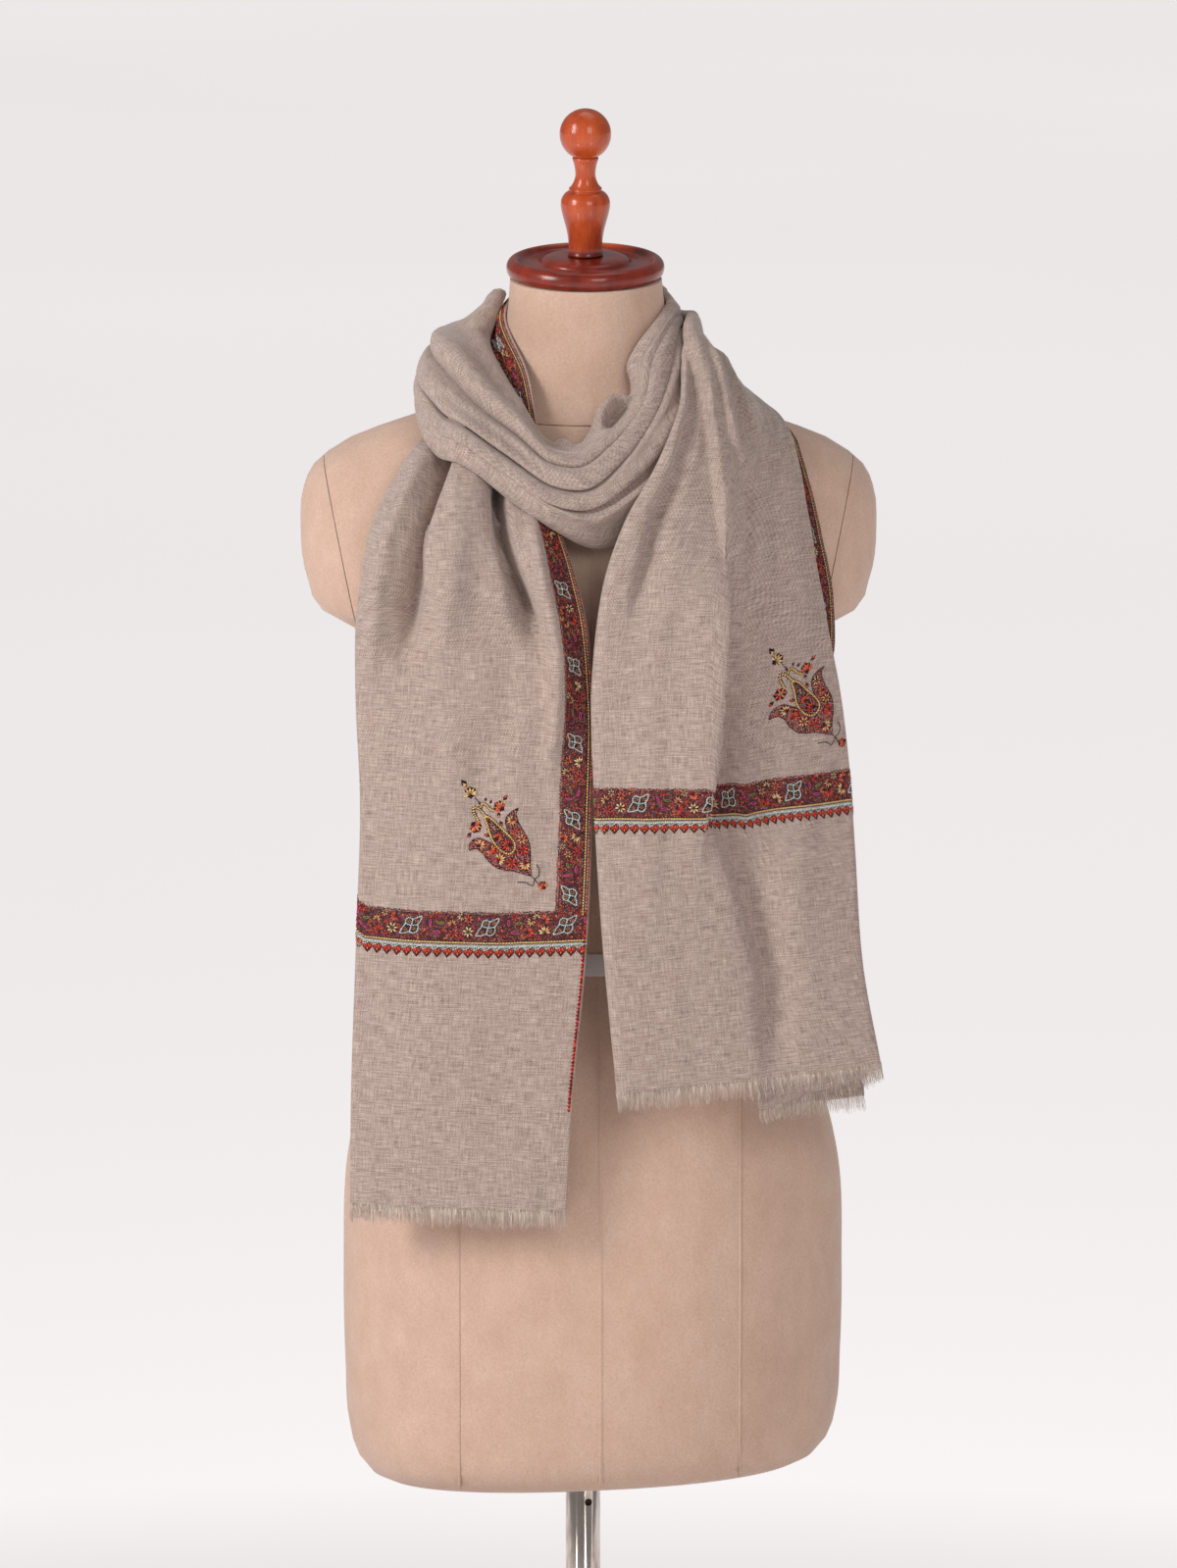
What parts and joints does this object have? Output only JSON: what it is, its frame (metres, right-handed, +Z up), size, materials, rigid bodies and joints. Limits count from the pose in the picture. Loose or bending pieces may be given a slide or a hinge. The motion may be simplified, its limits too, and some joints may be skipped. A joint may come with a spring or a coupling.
{
  "type": "pashmina shawl on a limbless dress form",
  "caption": "Taupe pashmina shawl with embroidered floral borders and fringed hems, wound once round the neck of a cream limbless dress form with a turned wooden cap and a pole stand.",
  "frame": {"origin": "on the floor, at the middle of the form's width, on the flat underside of the stand's round base", "axes": "+Z up, -Y to the front of the form, +X to the viewer's right"},
  "size_m": [0.4122, 0.34, 1.3955],
  "materials": {
    "pashmina": "fine soft twill of a taupe melange, embroidered in red, maroon, orange, yellow, cream and pale blue",
    "fringe": "loose warp ends of the same taupe yarn",
    "form_cover": "smooth cream suede cloth stretched over the form",
    "waist_tape": "woven white tape",
    "turned_wood": "glossy red-brown stain and varnish",
    "stand_steel": "bright plating"
  },
  "bodies": {
    "root": {"shawl_tail_left": "pashmina", "shawl_neck_wrap": "pashmina", "shawl_loop_front": "pashmina", "shawl_wrap_back": "pashmina", "shawl_tail_right": "pashmina", "fringe_tail_left": "fringe", "fringe_tail_right": "fringe", "form_body": "form_cover", "form_neck": "form_cover", "form_arm_cap_left": "form_cover", "form_arm_cap_right": "form_cover", "waist_tape": "waist_tape", "neck_cap": "turned_wood", "finial": "turned_wood", "stand_base": "stand_steel", "stand_pole": "stand_steel", "stand_collar": "stand_steel"}
  },
  "joints": []
}
